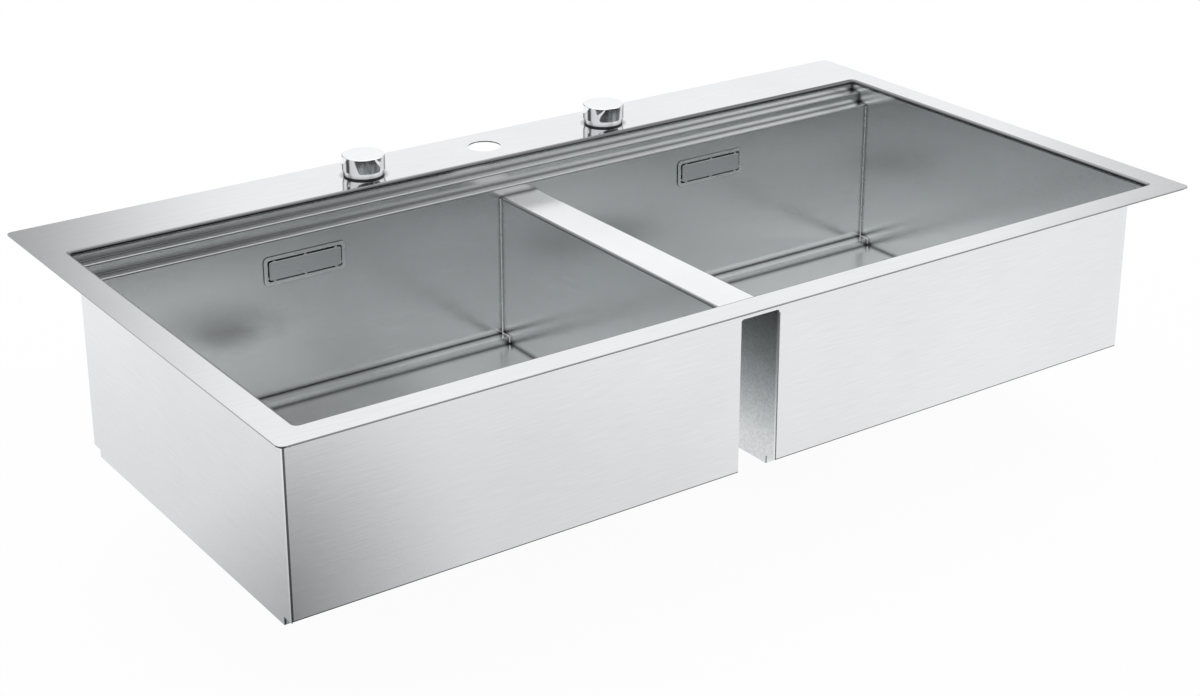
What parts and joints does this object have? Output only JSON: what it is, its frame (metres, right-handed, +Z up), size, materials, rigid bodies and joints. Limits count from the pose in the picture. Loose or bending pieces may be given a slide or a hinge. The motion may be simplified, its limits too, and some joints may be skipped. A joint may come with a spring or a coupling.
{
  "type": "kitchen sink",
  "caption": "Stainless steel drop-in kitchen sink: bowls side by side, stepped ledges, slot overflows, a tap hole, rotary controls and pop-up basket wastes.",
  "frame": {"origin": "centre of the rim on the worktop's surface, which is the underside of the rim seal and the middle of the cut-out", "axes": "+X along the sink to the right, +Y to the back where the tap hole is, +Z up"},
  "size_m": [1.024, 0.56, 0.3024],
  "materials": {
    "brushed_steel": "fine brushed grain along the length",
    "bowl_steel": "satin brushed",
    "polished_steel": "bright, lightly brushed",
    "satin_plate": "satin",
    "chrome": "polished",
    "zinc_steel": "zinc plated",
    "screw_steel": "plain stainless",
    "pin_steel": "turned",
    "brass_sleeve": "turned and threaded",
    "black_rubber": "matte",
    "seal_foam": "closed-cell foam",
    "damping_pad": "matte",
    "grey_plastic": "moulded",
    "dark_plastic": "moulded"
  },
  "bodies": {
    "sink": {"deck_plate": "brushed_steel", "rim_seal": "seal_foam", "front_wall": "bowl_steel", "back_wall": "bowl_steel", "end_plate_left": "bowl_steel", "end_plate_right": "bowl_steel", "inner_plate_left": "bowl_steel", "inner_plate_right": "bowl_steel", "divider_cap": "bowl_steel", "floor_left": "bowl_steel", "floor_right": "bowl_steel", "sound_pad_left": "damping_pad", "sound_pad_right": "damping_pad", "washers": "zinc_steel", "flange_screws": "screw_steel", "overflow_screws": "screw_steel", "drain_seal_left": "black_rubber", "drain_flange_left": "polished_steel", "under_seal_left": "black_rubber", "waste_body_left": "grey_plastic", "pin_bush_left": "black_rubber", "cable_actuator_left": "dark_plastic", "overflow_frame_left": "polished_steel", "overflow_gasket_left": "black_rubber", "overflow_housing_left": "grey_plastic", "knob_ring_left": "dark_plastic", "knob_sleeve_left": "brass_sleeve", "lock_nut_left": "dark_plastic", "cable_box_left": "dark_plastic", "drain_seal_right": "black_rubber", "drain_flange_right": "polished_steel", "under_seal_right": "black_rubber", "waste_body_right": "grey_plastic", "pin_bush_right": "black_rubber", "cable_actuator_right": "dark_plastic", "overflow_frame_right": "polished_steel", "overflow_gasket_right": "black_rubber", "overflow_housing_right": "grey_plastic", "knob_ring_right": "dark_plastic", "knob_sleeve_right": "brass_sleeve", "lock_nut_right": "dark_plastic", "cable_box_right": "dark_plastic"},
    "control_left": {"knob_left": "chrome", "spindle_left": "pin_steel"},
    "wedge_left": {"lift_wedge_left": "dark_plastic"},
    "lifter_left": {"lift_pin_left": "pin_steel"},
    "strainer_left": {"basket_left": "polished_steel", "basket_seal_left": "black_rubber"},
    "cover_left": {"overflow_cover_left": "satin_plate"},
    "control_right": {"knob_right": "chrome", "spindle_right": "pin_steel"},
    "wedge_right": {"lift_wedge_right": "dark_plastic"},
    "lifter_right": {"lift_pin_right": "pin_steel"},
    "strainer_right": {"basket_right": "polished_steel", "basket_seal_right": "black_rubber"},
    "cover_right": {"overflow_cover_right": "satin_plate"}
  },
  "joints": [
    {"name": "knob_left", "type": "hinge", "parent": "sink", "child": "control_left", "pos_m": [-0.15, 0.232, 0.0032], "axis": [0, 0, -1], "range_deg": [0, 110]},
    {"name": "wedge_left", "type": "slide", "parent": "sink", "child": "wedge_left", "axis": [-1, 0, 0], "range_m": [0, 0.016]},
    {"name": "lifter_left", "type": "slide", "parent": "sink", "child": "lifter_left", "axis": [0, 0, 1], "range_m": [0, 0.008]},
    {"name": "strainer_left", "type": "slide", "parent": "lifter_left", "child": "strainer_left", "axis": [0, 0, 1], "range_m": [0, 0.25]},
    {"name": "cover_left", "type": "slide", "parent": "sink", "child": "cover_left", "axis": [0, -1, 0], "range_m": [0, 0.04]},
    {"name": "knob_right", "type": "hinge", "parent": "sink", "child": "control_right", "pos_m": [0.15, 0.232, 0.0032], "axis": [0, 0, -1], "range_deg": [0, 110]},
    {"name": "wedge_right", "type": "slide", "parent": "sink", "child": "wedge_right", "axis": [-1, 0, 0], "range_m": [0, 0.016]},
    {"name": "lifter_right", "type": "slide", "parent": "sink", "child": "lifter_right", "axis": [0, 0, 1], "range_m": [0, 0.008]},
    {"name": "strainer_right", "type": "slide", "parent": "lifter_right", "child": "strainer_right", "axis": [0, 0, 1], "range_m": [0, 0.25]},
    {"name": "cover_right", "type": "slide", "parent": "sink", "child": "cover_right", "axis": [0, -1, 0], "range_m": [0, 0.04]}
  ],
  "couplings": [
    {"joint": "wedge_left", "follows": "knob_left", "m_per_rad": 0.0083339},
    {"joint": "lifter_left", "follows": "knob_left", "m_per_rad": 0.004167},
    {"joint": "wedge_right", "follows": "knob_right", "m_per_rad": 0.0083339},
    {"joint": "lifter_right", "follows": "knob_right", "m_per_rad": 0.004167}
  ]
}
